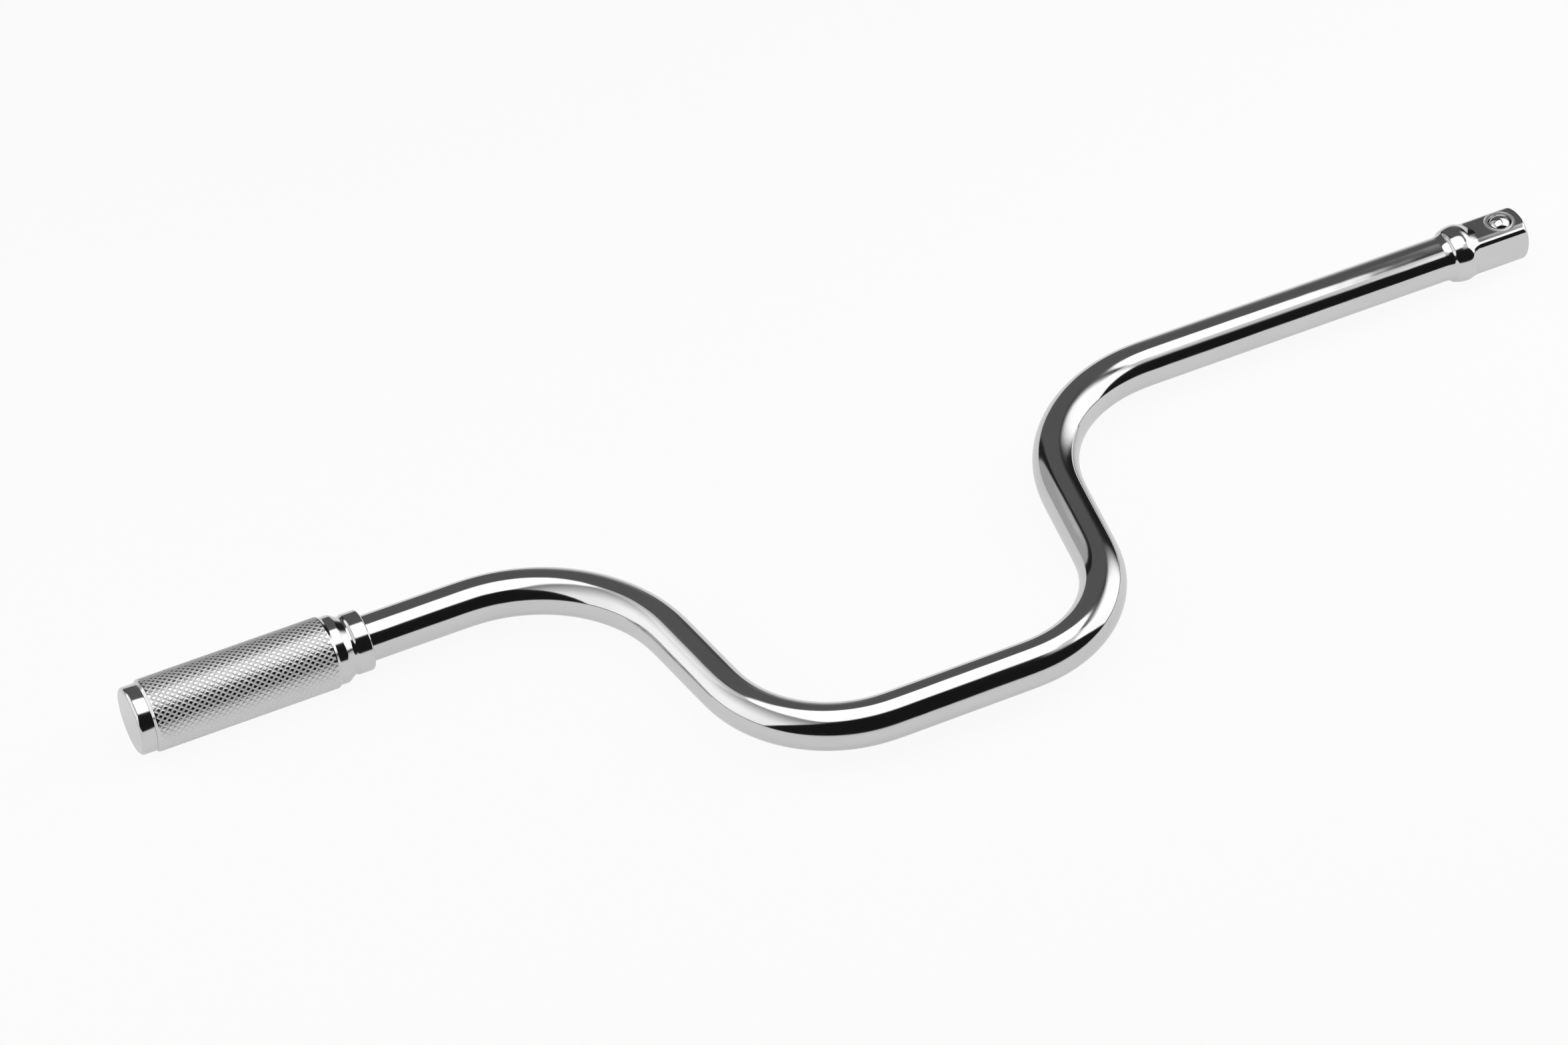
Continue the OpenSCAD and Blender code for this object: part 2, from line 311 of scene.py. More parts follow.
barSize = {
    "radius": 6.7, "endX": -430.5, "bevel": 0.8,
    "throw": 97.5, "base": 134.0, "toTip": 232.5,
    "lean": 8.0,           # the legs' lean from square to the axis, in degrees
    "axisBend": 46.0, "crankBend": 36.5,
    "ease": 9.0,           # length over which a bend's curvature comes in
    "lineStep": 0.02,      # step in which the centre line is summed
    "straightStep": 9.0, "bendStep": 1.6,  # distance between rings
    "endRun": 8.0,         # length of bar at its hidden end that has only the groove's rings
    "grooveX": (-428.5, -427.2), "grooveRadius": 5.9,
}
headSize = {
    "radius": 8.55, "x": -20.4, "back": 4.0, "flank": 11.0, "nose": 3.1,
    "flankReach": 0.9,     # share of its radius that the flank's round is followed for
    "rimRise": 0.76, "rimLen": 0.76, "neck": 9.0,
    "flat": 6.35, "round": 2.8, "corner": 8.4, "runout": 10.0, "tipRound": 3.2,
    "tipMargin": 1.0,      # how far behind its round the tip is trimmed
    "bite": 0.38,          # how far the hollow cuts under the flat, which leaves an edge there
    "biteEnd": 40, "biteFade": 22,         # degrees from the flat's normal where it ends, and its fading
    "edge": 0.35,          # rounding of the end face's edge
    "rimSoft": 0.12, "runoutSoft": 0.03, "cornerSoft": 0.2,
}
headMesh = {
    "flatCells": 40, "cornerCells": 6,     # cells across a flat, and over half a corner
    "edgeAngle": 40,       # where a flat's cells end, in degrees from its normal
    "join": 1.0,           # how far behind the neck the head's rows start
    "waist": 0.5,          # how far behind the widest point its two runs of rows meet
    "neckRows": 56, "noseRows": 56, "tipRows": 8, "edgeRows": 8,
    "faceRings": (0.96, 0.85, 0.6, 0.3, 0.0),
    "blockCells": 40, "blockHalf": 5.2,    # block of the flat that makes room for the ball's bore
    "spreadRows": 12, "grooveRows": 15, "lipRows": 6, "lipEdge": 0.08,
    "crease": 38,
}
detentSize = {
    "x": -6.7, "ball": 3.6, "ballZ": 4.217, "ballRows": 49, "ballCount": 96,
    "bore": 3.68, "lip": 3.4, "lipZ": 5.5, "stake": 1.0, "stakeDepth": 0.1, "floorZ": -4.95,
}


# Share of its curvature that a bend which starts at a place has at s: half at that place, all of it half
# an easing length further on.
def easedIn(s, place):
    return np.clip((s[:, None] - place) / barSize["ease"] + 0.5, 0, 1)


# The bar's centre line in the crank's plane. Its curvature is a row of flat-topped ramps, one for a bend;
# summed back from the tip it gives the heading, and the heading's cosine and sine summed give the place.
# With eased bends the line comes out a little long, so it is cut off where the bar ends.
def centreLine():
    size, step = barSize, barSize["lineStep"]
    lean, turn = np.radians(size["lean"]), np.radians(90 - size["lean"])
    axisTangent, crankTangent = size["axisBend"] * np.tan(turn / 2), size["crankBend"] * np.tan(turn / 2)
    axisArc, crankArc = size["axisBend"] * turn, size["crankBend"] * turn
    leg = size["throw"] / np.cos(lean) - axisTangent - crankTangent
    middle = size["base"] - 2 * size["throw"] * np.tan(lean) - 2 * crankTangent
    front = -size["toTip"] + size["base"] / 2 + axisTangent
    rear = -size["toTip"] - size["base"] / 2 - axisTangent
    ends = front - np.cumsum([0, axisArc, leg, crankArc, middle, crankArc, leg, axisArc])
    axisBow, crankBow = -1 / size["axisBend"], 1 / size["crankBend"]
    curvature = np.array([axisBow, crankBow, crankBow, axisBow])
    last = ends[-1] - (rear - size["endX"])
    s = np.arange(int(-last / step) + 2) * -step
    bow = ((easedIn(s, ends[1::2]) - easedIn(s, ends[0::2])) * curvature).sum(1)
    heading = -np.concatenate([[0], np.cumsum((bow[1:] + bow[:-1]) / 2 * step)])
    level = (heading[1:] + heading[:-1]) / 2
    x = -np.concatenate([[0], np.cumsum(np.cos(level) * step)])
    y = -np.concatenate([[0], np.cumsum(np.sin(level) * step)])
    kept = x > size["endX"] - step / 2
    return tuple(v[kept][::-1] for v in (s, x, y, heading, np.abs(bow)))


lineS, lineX, lineY, lineHeading, lineBow = centreLine()

rimX = headSize["x"] - headSize["back"]
rimRadius = headSize["radius"] - headSize["flank"] + np.sqrt(headSize["flank"] ** 2 - headSize["back"] ** 2)
bevelX, bevelRadius = rimX - headSize["rimLen"], rimRadius - headSize["rimRise"]
neckX = bevelX - np.sqrt(headSize["neck"] ** 2 - (headSize["neck"] - bevelRadius + barSize["radius"]) ** 2)


# Radius behind the head's widest point: the bar, a hollow neck, a bevel to the rim and a long round.
def rearRadius(x):
    past = np.clip(x - neckX, 0, rimX - neckX)
    neck = barSize["radius"] + headSize["neck"] - np.sqrt(headSize["neck"] ** 2 - past ** 2)
    bevel = bevelRadius + (x - bevelX) * headSize["rimRise"] / headSize["rimLen"]
    back = np.clip(headSize["x"] - x, 0, headSize["flank"] * headSize["flankReach"])
    flank = headSize["radius"] - headSize["flank"] + np.sqrt(headSize["flank"] ** 2 - back ** 2)
    return softMax(neck, softMin(bevel, flank, headSize["rimSoft"]), headSize["rimSoft"])


# Distance from the axis to a square with rounded corners, in a direction phi from a flat's normal:
# the flat's own distance, or where the direction leaves the circle that rounds the corner.
def squareRadius(phi):
    centre = headSize["flat"] - headSize["round"]
    lean = np.abs(phi)
    reach = centre * (np.cos(lean) + np.sin(lean))
    rounded = reach + np.sqrt(np.maximum(headSize["round"] ** 2 - 2 * centre ** 2 + reach ** 2, 0))
    return np.where(headSize["flat"] * np.tan(lean) < centre, headSize["flat"] / np.cos(phi), rounded)


# Distance from the axis to the head's surface at x, in a direction round from +Y by way of +Z. Ahead of
# the widest point a short round passes into a hollow, which runs out on the square as wide as it is in
# that direction; the square's tip is trimmed by a turned round.
def headRadius(x, direction):
    phi = (direction + pi / 4) % (pi / 2) - pi / 4
    side = squareRadius(phi)
    nose, runout, tipRound = headSize["nose"], headSize["runout"], headSize["tipRound"]
    low = headSize["radius"] - nose
    biteEnd, biteFade = np.radians(headSize["biteEnd"]), np.radians(headSize["biteFade"])
    bite = headSize["bite"] * np.clip((biteEnd - np.abs(phi)) / biteFade, 0, 1)
    hollowR = side + runout - bite
    hollowX = np.sqrt((nose + runout) ** 2 - (hollowR - low) ** 2)
    ahead = np.clip(x - headSize["x"], 0, None)
    shoulder = low + np.sqrt(np.clip(nose ** 2 - ahead ** 2, 0, None))
    over = np.clip(hollowX - ahead, 0, runout)
    hollow = softMax(side, hollowR - np.sqrt(runout ** 2 - over ** 2), headSize["runoutSoft"])
    front = np.where(ahead < nose * hollowX / (nose + runout), shoulder, hollow)
    tip = np.clip(x + tipRound, 0, tipRound)
    corner = headSize["corner"] - tipRound + np.sqrt(tipRound ** 2 - tip ** 2)
    trimmed = softMin(front, corner + 0 * phi, headSize["cornerSoft"])
    front = np.where(x > -tipRound - headSize["tipMargin"], trimmed, front)
    return np.where(x < headSize["x"], rearRadius(x) + 0 * phi, front)


# Directions round the head: close together over the turned corners, evenly spread across each flat.
edgeAngle = np.radians(headMesh["edgeAngle"])
flatTurns = np.arctan(np.linspace(-np.tan(edgeAngle), np.tan(edgeAngle), headMesh["flatCells"] + 1))
turnIn = np.linspace(-pi / 4, -edgeAngle, headMesh["cornerCells"] + 1)[:-1]
turnOut = np.linspace(edgeAngle, pi / 4, headMesh["cornerCells"] + 1)[1:-1]
quarter = np.concatenate([turnIn, flatTurns, turnOut])
theta = (quarter[None, :] + np.arange(4)[:, None] * pi / 2).ravel()


# The bar from its hidden end to the neck: rings closer together where it bends, each ring a circle across
# the centre line, with the end bevel and the retaining ring's groove as steps of radius.
def barRings():
    size, bar, groove = barSize, barSize["radius"], barSize["grooveRadius"]
    wide, close = 1 / size["straightStep"], 1 / size["bendStep"]
    density = wide + (close - wide) * np.clip(lineBow * size["axisBend"], 0, 1)
    measure = np.concatenate([[0], np.cumsum((density[1:] + density[:-1]) / 2 * np.diff(lineS))])
    start, stop = lineS[0], neckX - headMesh["join"]
    fromHere = np.interp(start + size["endRun"], lineS, measure)
    upTo = np.interp(stop, lineS, measure)
    s = np.interp(np.linspace(fromHere, upTo, int(upTo - fromHere) + 2), measure, lineS)
    g0, g1 = (g - size["endX"] + start for g in size["grooveX"])
    endS = start + np.array([0, 0, 0, size["bevel"]])
    endR = np.array([0, bar / 2, bar - size["bevel"], bar])
    grooveS, grooveR = np.array([g0, g0, g1, g1]), np.array([bar, groove, groove, bar])
    return np.concatenate([endS, grooveS, s]), np.concatenate([endR, grooveR, np.full(len(s), bar)])


# Rings of any radius carried along the centre line; a ring lies across the bar's heading.
def carried(s, radius):
    x, y, heading = (np.interp(s, lineS, v)[:, None] for v in (lineX, lineY, lineHeading))
    out, up = radius * np.cos(theta), radius * np.sin(theta)
    return np.stack([x - np.sin(heading) * out, y + np.cos(heading) * out, up + 0 * x], -1)


# Height of the flat with the ball above the axis, at a place x, y on it: the root of the head's radius
# squared less y squared, by repetition, since the radius depends on the direction and so on the height.
def flatHeight(x, y):
    z = np.full(np.broadcast(x, y).shape, headSize["flat"])
    for _ in range(4):
        direction = np.arctan2(z, y)
        z = np.sqrt(np.maximum(headRadius(x, direction) ** 2 - y ** 2, 0))
    return z


# Row and column of each point on a block's border, once round.
def blockBorder(row0, col0, rows, cols):
    down, over = np.arange(rows), np.arange(cols)
    return np.concatenate([
        np.stack([row0 + down, np.full(rows, col0)], 1),
        np.stack([np.full(cols, row0 + rows), col0 + over], 1),
        np.stack([row0 + rows - down, np.full(rows, col0 + cols)], 1),
        np.stack([np.full(cols, row0), col0 + cols - over], 1)])


# Radius, and height above the flat, of an outline over the staked groove and the lip and down the bore
# to the middle of its floor. The groove is a sine squared and the lip's edge a quarter round.
def boreOutline():
    size, half, lipEdge = detentSize, detentSize["stake"] / 2, headMesh["lipEdge"]
    g = np.linspace(0, pi, headMesh["grooveRows"])[1:]
    grooveR = size["bore"] + half + half * np.cos(g)
    grooveZ = -size["stakeDepth"] * np.sin(g) ** 2
    b = np.linspace(0, pi / 2, headMesh["lipRows"])
    lipR = size["lip"] + lipEdge * (1 - np.sin(b))
    lipZ = -lipEdge * (1 - np.cos(b))
    under = size["lipZ"] - (size["bore"] - size["lip"])
    boreR = np.array([size["lip"], size["bore"], size["bore"], size["bore"] / 2, 0])
    boreZ = np.array([size["lipZ"], under] + [size["floorZ"]] * 3) - headSize["flat"]
    radius, height = np.concatenate([grooveR, lipR, boreR]), np.concatenate([grooveZ, lipZ, boreZ])
    return radius[:, None], height[:, None], len(grooveR)


# The whole bar is one grid: the bar's rings, the head's rows and the rings that close the end face. A
# block of the grid on the flat with the ball gives way to a patch of rings, which pass in equal shares
# from the block's border to the staked groove's outer circle and then follow the bore's outline.
def crankBar():
    cells, rows, edge = headMesh, headMesh["blockCells"], headSize["edge"]
    block = detentSize["x"] + np.linspace(-cells["blockHalf"], cells["blockHalf"], rows + 1)
    waist = headSize["x"] - cells["waist"]
    neckS = np.linspace(neckX - cells["join"], waist, cells["neckRows"])[1:]
    noseS = np.linspace(waist, block[0], cells["noseRows"])[1:-1]
    tipS = np.linspace(block[-1], -edge, cells["tipRows"])[1:]
    xs = np.concatenate([neckS, noseS, block, tipS])
    headR = headRadius(xs[:, None], theta[None, :])

    # The end face's edge: a quarter round, then rings that shrink to the centre
    a = np.linspace(0, pi / 2, cells["edgeRows"])[1:, None]
    edgeX = -edge + edge * np.sin(a)
    edgeR = headRadius(edgeX, theta[None, :]) - edge * (1 - np.cos(a))
    faceR = edgeR[-1:] * np.array(cells["faceRings"])[:, None]

    barS, barR = barRings()
    s = np.concatenate([barS, xs, edgeX[:, 0], np.zeros(len(faceR))])
    radius = np.concatenate([barR[:, None] + 0 * theta, headR, edgeR, faceR])
    points = carried(s, radius)
    along = np.stack([s[:, None] + 0 * theta, radius * np.cos(theta), radius * np.sin(theta)], -1)
    quads = gridQuads(len(s), len(theta))

    # Cells of the block: all between its x stations, and one column in from either edge of the flat
    row0 = len(barS) + len(neckS) + len(noseS)
    col0 = int(np.argmin(np.abs(theta - (pi / 2 - edgeAngle)))) + 1
    cols = cells["flatCells"] - 2
    cellRow, cellCol = np.divmod(np.arange(len(quads)), len(theta))
    inRows = (cellRow >= row0) & (cellRow < row0 + rows)
    inCols = (cellCol >= col0) & (cellCol < col0 + cols)
    quads = quads[~(inRows & inCols)]

    # Rings from the block's border to the staked groove's outer circle
    border = blockBorder(row0, col0, rows, cols)
    rim = points[border[:, 0], border[:, 1]]
    away = np.arctan2(rim[:, 1], rim[:, 0] - detentSize["x"])
    groove, lip, flat = detentSize["bore"] + detentSize["stake"], detentSize["lip"], headSize["flat"]
    t = np.linspace(0, 1, cells["spreadRows"])[1:, None]
    circleX, circleY = detentSize["x"] + groove * np.cos(away), groove * np.sin(away)
    spreadX, spreadY = rim[:, 0] * (1 - t) + circleX * t, rim[:, 1] * (1 - t) + circleY * t
    spread = np.stack([spreadX, spreadY, flatHeight(spreadX, spreadY)], -1)

    # The bore's outline stands on the surface at the groove's circle, and on the plain flat at the lip
    holeR, holeZ, grooveRows = boreOutline()
    level = flat + (spread[-1, :, 2] - flat) * np.clip((holeR - lip) / (groove - lip), 0, 1)
    hole = np.stack([detentSize["x"] + holeR * np.cos(away), holeR * np.sin(away), level + holeZ], -1)
    patch = np.concatenate([rim[None], spread, hole])
    patchQuads = gridQuads(len(patch), len(border), first=points[..., 0].size)[:, ::-1]

    # The punch leaves the groove duller than the rest
    dull = np.zeros(patch.shape[:2])
    dull[len(spread) + 1:len(spread) + grooveRows] = 1

    allPoints = np.concatenate([points.reshape(-1, 3), patch.reshape(-1, 3)])
    allAlong = np.concatenate([along.reshape(-1, 3), patch.reshape(-1, 3)]) * mm
    punched = np.concatenate([np.zeros(points[..., 0].size), dull.ravel()])
    return makePiece("crankBar", allPoints, np.concatenate([quads, patchQuads]),
                     {"barCoord": allAlong, "punched": punched}, crease=cells["crease"])


fit(crankBar(), "bar", "crank_bar", barFinish)


# grip

sleeveSize = {
    "rearX": -435.6, "pocket": 8.25, "knurl": 10.5, "bevel": 0.8, "knurlEndX": -381.3,
    "shoulder": 9.95, "shoulderX": -380.5, "shoulderEndX": -378.0,
    "neck": 8.5, "neckX": (-375.7, -375.1),
    "collarX": -374.4, "collar": 8.85, "collarBevel": 0.4, "endX": -370.0,
    "bore": 6.78, "pocketX": -425.6,
    # rounding of the outline's corners, from the pocket over knurl and collar and back through the bore
    "rounding": (0.1, 0.12, 0.12, 0.12, 0.1, 0.3, 0.2, 0.2, 0.2, 0.1, 0.1, 0.1, 0.1, 0.1),
    "roundSteps": 5,
    "plainCorners": 3,                 # corners of the outline before the knurl
    "around": 35, "along": 25.8,       # diamonds round the grip and along it
    "perDiamond": 8,                   # points across one diamond
    "depth": 0.15,
    "groove": 0.5,                     # share of a diamond's half width that its groove's slope takes
    "dish": 0.045,                     # how far the tops are hollowed
    "crease": 50,
}
capSize = {
    "faceX": -440.0, "radius": 9.85, "round": 1.0, "roundSteps": 12, "backX": -435.6,
    "faceRings": (0, 2.0, 4.0, 6.0, 8.0),
    "lead": 0.1,                       # flat kept beside the round at either end
    "backEdge": 0.12, "backMid": 0.03,  # where the back edge's small round starts, and its middle
    "spigot": 8.26, "spigotEndX": -430.6, "spigotBevel": 0.6, "spigotLead": 0.05, "spigotRing": 4.0,
    "count": 160, "crease": 38,
}


# Two families of V grooves cross over the sleeve. Each family is a saw of the distance round plus or
# minus the distance along, in diamonds: nothing in the middle of a groove and one halfway between two.
def knurlSaws(u, v):
    both = np.stack([u + v, u - v])
    return 1 - np.abs(2 * (both - np.floor(both)) - 1)


# A diamond's height is the lower of the two saws, cut off flat where the grooves end. Inside its rim
# each top is dished: one less the square of the share of each saw that is left, both multiplied.
def knurlHeight(saws):
    groove = sleeveSize["groove"]
    bowls = 1 - ((1 - np.maximum(saws, groove)) / (1 - groove)) ** 2
    return np.minimum(saws.min(0) / groove, 1), bowls[0] * bowls[1]


# The sleeve is an outline turned about the axis, with rows of points put into its knurled run. There the
# radius is less by the depth times what a diamond's height lacks of one, and by the dish times its bowl.
def gripSleeve():
    size, perDiamond = sleeveSize, sleeveSize["perDiamond"]
    knurl, bevel, collarBevel = size["knurl"], size["bevel"], size["collarBevel"]
    corners = [
        (size["pocket"], size["rearX"]), (knurl - bevel, size["rearX"]), (knurl, size["rearX"] + bevel),
        (knurl, size["knurlEndX"]), (size["shoulder"], size["shoulderX"]),
        (size["shoulder"], size["shoulderEndX"]), (size["neck"], size["neckX"][0]),
        (size["neck"], size["neckX"][1]), (size["collar"], size["collarX"]),
        (size["collar"], size["endX"] - collarBevel), (size["collar"] - collarBevel, size["endX"]),
        (size["bore"], size["endX"]), (size["bore"], size["pocketX"]), (size["pocket"], size["pocketX"])]
    outline = roundedOutline(corners, size["rounding"], size["roundSteps"])
    begin = size["plainCorners"] * outline.shape[1]
    outline = outline.reshape(-1, 2)
    count = size["around"] * perDiamond
    rows = int(round(size["along"] * perDiamond))
    knurlX = np.linspace(outline[begin - 1, 1], outline[begin, 1], rows + 2)[1:-1]
    knurled = np.stack([np.full(rows, knurl), knurlX], 1)
    outline = np.concatenate([outline[:begin], knurled, outline[begin:]])
    points = turned(outline, count)

    u, v = np.arange(count)[None, :], np.arange(rows)[:, None]
    height, bowl = knurlHeight(knurlSaws(u / perDiamond, v / perDiamond))
    drop = size["depth"] * (1 - height) + size["dish"] * bowl
    ring = slice(begin, begin + rows)
    points[ring, :, 1:] *= ((knurl - drop) / knurl)[..., None]
    # The depth also goes to the finish, which makes the grooves duller and paints light into them as a
    # paler grey
    depth = np.zeros(points.shape[:2])
    depth[ring] = 1 - height

    # Inside the knurl each quad is split along the groove that is nearer to its middle
    quads = gridQuads(len(outline) + 1, count) % points[..., 0].size
    cellRow = np.arange(len(quads)) // count - begin
    knurlCells = (cellRow >= 0) & (cellRow < rows - 1)
    cell = quads[knurlCells]
    nearOne, nearTwo = knurlSaws((u + 0.5) / perDiamond, (v[:-1] + 0.5) / perDiamond)
    first = (nearOne < nearTwo).ravel()[:, None]
    triangles = np.concatenate([np.where(first, cell[:, [0, 1, 3]], cell[:, [0, 1, 2]]),
                                np.where(first, cell[:, [1, 2, 3]], cell[:, [0, 2, 3]])])
    return makePiece("gripSleeve", points.reshape(-1, 3), quads[~knurlCells], {"knurlDepth": depth.ravel()},
                     crease=size["crease"], loose=triangles)


# The cap is an outline turned about the axis: the end face, a quarter round, the band with a small round
# at its back, and the spigot inside the sleeve with its bevel.
def endCap():
    size, radius, bevel = capSize, capSize["radius"], capSize["spigotBevel"]
    faceX, backX, endX = size["faceX"], size["backX"], size["spigotEndX"]
    face = np.stack([size["faceRings"], np.full(len(size["faceRings"]), faceX)], 1)
    t = np.linspace(0, pi / 2, size["roundSteps"])
    inner = radius - size["round"]
    rim = np.stack([inner + size["round"] * np.sin(t), faceX + size["round"] * (1 - np.cos(t))], 1)
    lead = [(inner - size["lead"], faceX)]
    trail = [(radius, faceX + size["round"] + size["lead"]), (radius, backX - size["backEdge"]),
             (radius - size["backMid"], backX - size["backMid"]), (radius - size["backEdge"], backX)]
    spigot = size["spigot"]
    tail = [(spigot, backX), (spigot, backX + size["spigotLead"]), (spigot, endX - bevel),
            (spigot - bevel, endX), (size["spigotRing"], endX), (0.0, endX)]
    outline = np.concatenate([face, lead, rim, trail, tail])
    points = turned(outline, size["count"])
    return makePiece("endCap", points.reshape(-1, 3), gridQuads(len(outline), size["count"]),
                     crease=size["crease"])


fit(gripSleeve(), "grip", "grip_sleeve", gripFinish)
fit(endCap(), "grip", "end_cap", gripFinish)


# detent

springSize = {
    "lowZ": -4.6, "highZ": 1.02, "coil": 2.5, "wire": 0.35, "coils": 4,
    "close": 0.6,          # how far the coils close at both ends: 1 would leave them flat
    "perCoil": 48, "sides": 12, "crease": 60,
}


# A ball as circles of latitude about the bore's axis: the latitude's cosine times the radius is how far
# a circle reaches out, and its sine times the radius how far it stands up.
def detentBall():
    size, rows, count = detentSize, detentSize["ballRows"], detentSize["ballCount"]
    up = np.linspace(-pi / 2, pi / 2, rows)[:, None]
    about = 2 * pi * np.arange(count)[None, :] / count
    out = size["ball"] * np.cos(up)
    points = np.stack([size["x"] + out * np.cos(about), out * np.sin(about),
                       size["ballZ"] + size["ball"] * np.sin(up) + 0 * about], -1)
    return makePiece("detentBall", points.reshape(-1, 3), gridQuads(rows, count))


# A wire carried up a helix whose pitch is small at both ends, where the coils close: the climb is the
# share of the turns less a sine of it.
def detentSpring():
    size, wire = springSize, springSize["wire"]
    t = np.linspace(0, 1, size["coils"] * size["perCoil"] + 1)[:, None]
    side = 2 * pi * np.arange(size["sides"])[None, :] / size["sides"]
    angle = 2 * pi * size["coils"] * t
    climb = t - size["close"] * np.sin(2 * pi * t) / (2 * pi)
    height = size["lowZ"] + (size["highZ"] - size["lowZ"]) * climb
    out = size["coil"] + wire * np.cos(side)
    tube = np.stack([detentSize["x"] + out * np.cos(angle), out * np.sin(angle),
                     height + wire * np.sin(side)], -1)
    tips = tube[[0, -1]].mean(1, keepdims=True)
    tube = np.concatenate([tips[:1] + 0 * tube[:1], tube, tips[1:] + 0 * tube[:1]])
    return makePiece("detentSpring", tube.reshape(-1, 3), gridQuads(len(tube), size["sides"])[:, ::-1],
                     crease=size["crease"])


fit(detentBall(), "ball", "detent_ball", ballFinish)
spring = fit(detentSpring(), "bar", "detent_spring", springFinish)
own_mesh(spring)
for node, finish in (("retaining_ring", springFinish), ("thrust_washer", washerFinish)):
    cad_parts[node].data.materials.clear()
    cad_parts[node].data.materials.append(finish)
print("pieces made")


# floor, studio and camera

studio = {
    "floorZ": -10.5, "floorHalf": 6000.0, "floorGrey": 0.8,
    "floorShow": (0.92, 0.55),      # share of the floor's white without shadow: seen directly, in a mirror
    "frontEdge": (-0.45, -0.13),    # y over which the floor's white comes in when it is seen in a mirror
    # panels: x and z of the two ends, span along y, radiance, and the soft margins of the ends and sides
    "panels": {
        "overhead": {"low": (-0.47, 0.45), "high": (0.155, 0.45), "span": (-0.33, 0.186), "radiance": 1.6,
                     "fade": (0.08, 0.03, 0.08, 0.06), "bulge": 3.5, "bulgeSoft": (1.0, 0.6),
                     "notch": (0.0, -0.13), "notchSoft": 0.09},
        "front": {"low": (-0.02, 0.46), "high": (0.42, 0.46), "span": (-0.47, -0.09), "radiance": 0.8,
                  "fade": (0.1, 0.15, 0.18, 0.08)},
        "left": {"low": (-1.19, 0.02), "high": (-0.32, 0.624), "span": (-0.38, 0.74), "radiance": 1.2,
                 "fade": (0.05, 0.62, 0.04, 0.25)},
        "right": {"low": (0.143, 0.4306), "high": (0.72, 0.02), "span": (-0.38, 0.36), "radiance": 1.45,
                  "fade": (0.11, 0.05, 0.04, 0.24)},
    },
    "room": (0.012, 0.12),          # light of the camera's side and of the far side
    "roomTurn": (-0.25, 0.2),       # y of the direction over which one passes into the other
    # what stands on the far side: the light it adds, or as a negative number the share of light that it
    # takes; the bearings between which it comes in and goes out; and, where it isn't the same at every
    # height, the height at which it is gone and the height at which it is full
    "things": {
        "wall": {"light": 0.36, "bearing": (-0.85, -0.7, -0.38, -0.33)},
        "post": {"light": -0.85, "bearing": (-0.36, -0.31, -0.22, -0.16)},
        "corner": {"light": -0.85, "bearing": (0.65, 0.85, 1.3, 1.5), "height": (0.8, 0.6)},
        "strip": {"light": 0.4, "bearing": (0.3, 0.42, 0.52, 0.65), "height": (0.4, -0.1)},
    },
}
lens = {
    "place": (-0.7639, -1.2487, 1.1990), "azimuth": -22.72, "elevation": 41.81, "roll": -3.95,
    "focal": 146.0, "sensor": 36.0, "clip": (0.05, 50.0),
}


# One number from others in a node tree; plain numbers may stand for links.
def reckon(tree, operation, *values):
    node = addNode(tree, "ShaderNodeMath", operation=operation)
    for socket, value in zip(node.inputs, values):
        if isinstance(value, (int, float)):
            socket.default_value = value
        else:
            tree.links.new(value, socket)
    return node.outputs[0]


# Rises smoothly from 0 to 1 as value goes from low to high.
def rise(tree, value, low, high):
    node = addNode(tree, "ShaderNodeMapRange", {"From Min": low, "From Max": high},
                   interpolation_type="SMOOTHSTEP")
    tree.links.new(value, node.inputs["Value"])
    return node.outputs["Result"]


# Rises from a to b, stays at 1 and falls from c to d: one rise times another that runs backwards.
def between(tree, value, a, b, c, d):
    return reckon(tree, "MULTIPLY", rise(tree, value, a, b), rise(tree, value, d, c))


# How much of the floor is plain white: most of it for the camera, none for the lamps' light, and less in
# mirrors, where the white fades out towards the table's front edge.
def showThrough(tree):
    path = addNode(tree, "ShaderNodeLightPath")
    direct, mirrored = studio["floorShow"]
    mirror = reckon(tree, "MAXIMUM", path.outputs["Is Glossy Ray"], path.outputs["Is Transmission Ray"])
    where = addNode(tree, "ShaderNodeNewGeometry")
    part = addNode(tree, "ShaderNodeSeparateXYZ")
    tree.links.new(where.outputs["Position"], part.inputs[0])
    mirror = reckon(tree, "MULTIPLY", mirror, rise(tree, part.outputs["Y"], *studio["frontEdge"]))
    mirror = reckon(tree, "MULTIPLY", mirror, mirrored)
    camera = reckon(tree, "MULTIPLY", path.outputs["Is Camera Ray"], direct)
    return reckon(tree, "MAXIMUM", mirror, camera)


# A flat sheet under the tool: matt white, mixed with plain white by the share that shows through.
def paleFloor():
    grid = np.linspace(-studio["floorHalf"], studio["floorHalf"], 3)
    x, y = np.meshgrid(grid, grid, indexing="ij")
    points = np.stack([x, y, np.full(x.shape, studio["floorZ"])], -1)
    floor = makePiece("floor", points.reshape(-1, 3), gridQuads(3, 3, closed=False)[:, ::-1])
    finish = bpy.data.materials.new("floorWhite")
    finish.use_nodes = True
    tree = finish.node_tree
    tree.nodes.remove(tree.nodes["Principled BSDF"])
    matt = addNode(tree, "ShaderNodeBsdfDiffuse", {"Color": (studio["floorGrey"],) * 3 + (1,)})
    glow = addNode(tree, "ShaderNodeEmission", {"Color": (1, 1, 1, 1), "Strength": 1.0})
    mix = addNode(tree, "ShaderNodeMixShader")
    tree.links.new(showThrough(tree), mix.inputs["Fac"])
    tree.links.new(matt.outputs["BSDF"], mix.inputs[1])
    tree.links.new(glow.outputs["Emission"], mix.inputs[2])
    tree.links.new(mix.outputs["Shader"], tree.nodes["Material Output"].inputs["Surface"])
    floor.data.materials.append(finish)


